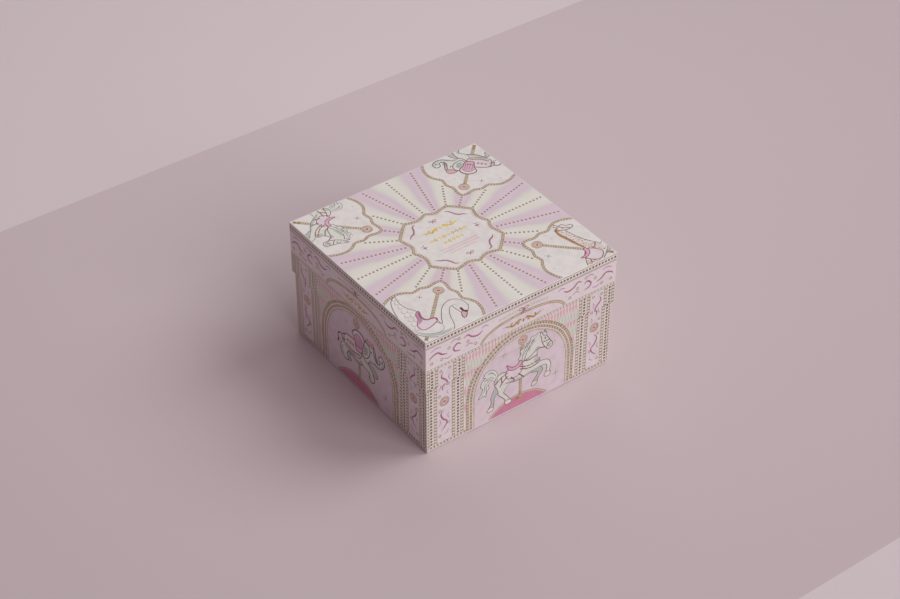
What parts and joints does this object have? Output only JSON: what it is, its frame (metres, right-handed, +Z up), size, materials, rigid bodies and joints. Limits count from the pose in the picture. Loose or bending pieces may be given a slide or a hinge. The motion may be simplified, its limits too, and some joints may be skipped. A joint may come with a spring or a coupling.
{
  "type": "rigid gift box with lift-off lid",
  "caption": "Square set-up box of wrapped greyboard with a telescoping lift-off lid, printed with a merry-go-round pattern in pastel colours and gold foil.",
  "frame": {"origin": "centre of the box's footprint on the surface it stands on", "axes": "+Z up, the way the lid lifts; X and Y square to the walls; -Y is the side with the horse and -X the side with the elephant"},
  "size_m": [0.2, 0.2, 0.1235],
  "materials": {
    "printed_wrap": "printed pastel art paper with a matt film, pale pink, lilac and cream",
    "print_ink": "printed colours of the pattern under the matt film",
    "gold_foil": "hot-stamped gold foil, embossed into low beads and lines",
    "greyboard": "bare grey recycled board",
    "lining_paper": "plain white uncoated paper",
    "bottom_paper": "plain off-white paper",
    "kraft_tape": "brown gummed kraft tape"
  },
  "bodies": {
    "base": {"base_board": "greyboard", "base_lining": "lining_paper", "base_wrap": "printed_wrap", "base_bottom_sheet": "bottom_paper", "base_corner_stay_1": "kraft_tape", "base_corner_stay_2": "kraft_tape", "base_corner_stay_3": "kraft_tape", "base_corner_stay_4": "kraft_tape"},
    "lid": {"lid_board": "greyboard", "lid_lining": "lining_paper", "lid_wrap": "printed_wrap", "lid_corner_stay_1": "kraft_tape", "lid_corner_stay_2": "kraft_tape", "lid_corner_stay_3": "kraft_tape", "lid_corner_stay_4": "kraft_tape"}
  },
  "joints": [
    {"name": "lid_lift", "type": "slide", "parent": "base", "child": "lid", "axis": [0, 0, 1], "range_m": [0, 0.12]}
  ]
}
